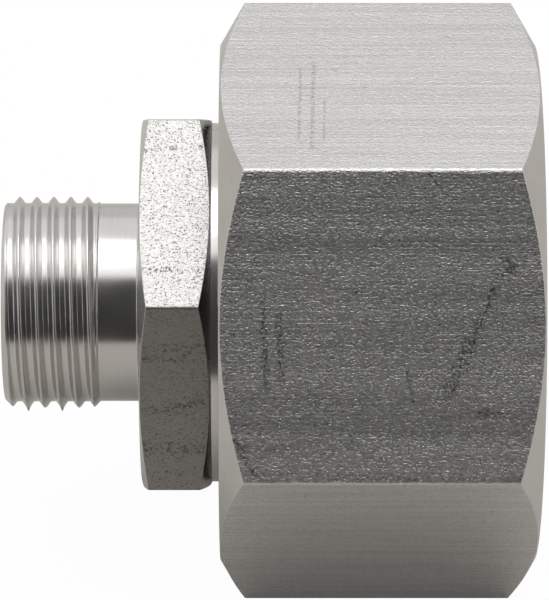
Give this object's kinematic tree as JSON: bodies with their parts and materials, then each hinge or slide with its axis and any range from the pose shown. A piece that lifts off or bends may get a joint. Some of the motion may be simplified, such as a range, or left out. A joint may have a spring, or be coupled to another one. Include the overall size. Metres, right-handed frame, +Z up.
{
  "type": "reducing coupling",
  "caption": "Reducing coupling: a turned steel fitting with a small male thread and a hexagon, and a larger hexagon nut that turns freely on its neck.",
  "frame": {"origin": "on the coupling's axis, halfway between the male end and the nut's open end", "axes": "+X along the axis towards the nut's open end, +Z up with the nut lying on one of its flats"},
  "size_m": [0.0416, 0.0472, 0.041],
  "materials": {
    "fitting_steel": "turned",
    "nut_steel": "drawn",
    "ring_steel": "drawn"
  },
  "bodies": {
    "fitting": {"fitting_body": "fitting_steel"},
    "nut": {"swivel_nut": "nut_steel", "retaining_ring": "ring_steel"}
  },
  "joints": [
    {"name": "nut_spin", "type": "hinge", "parent": "fitting", "child": "nut", "pos_m": [0, 0, 0], "axis": [1, 0, 0], "continuous": true}
  ]
}
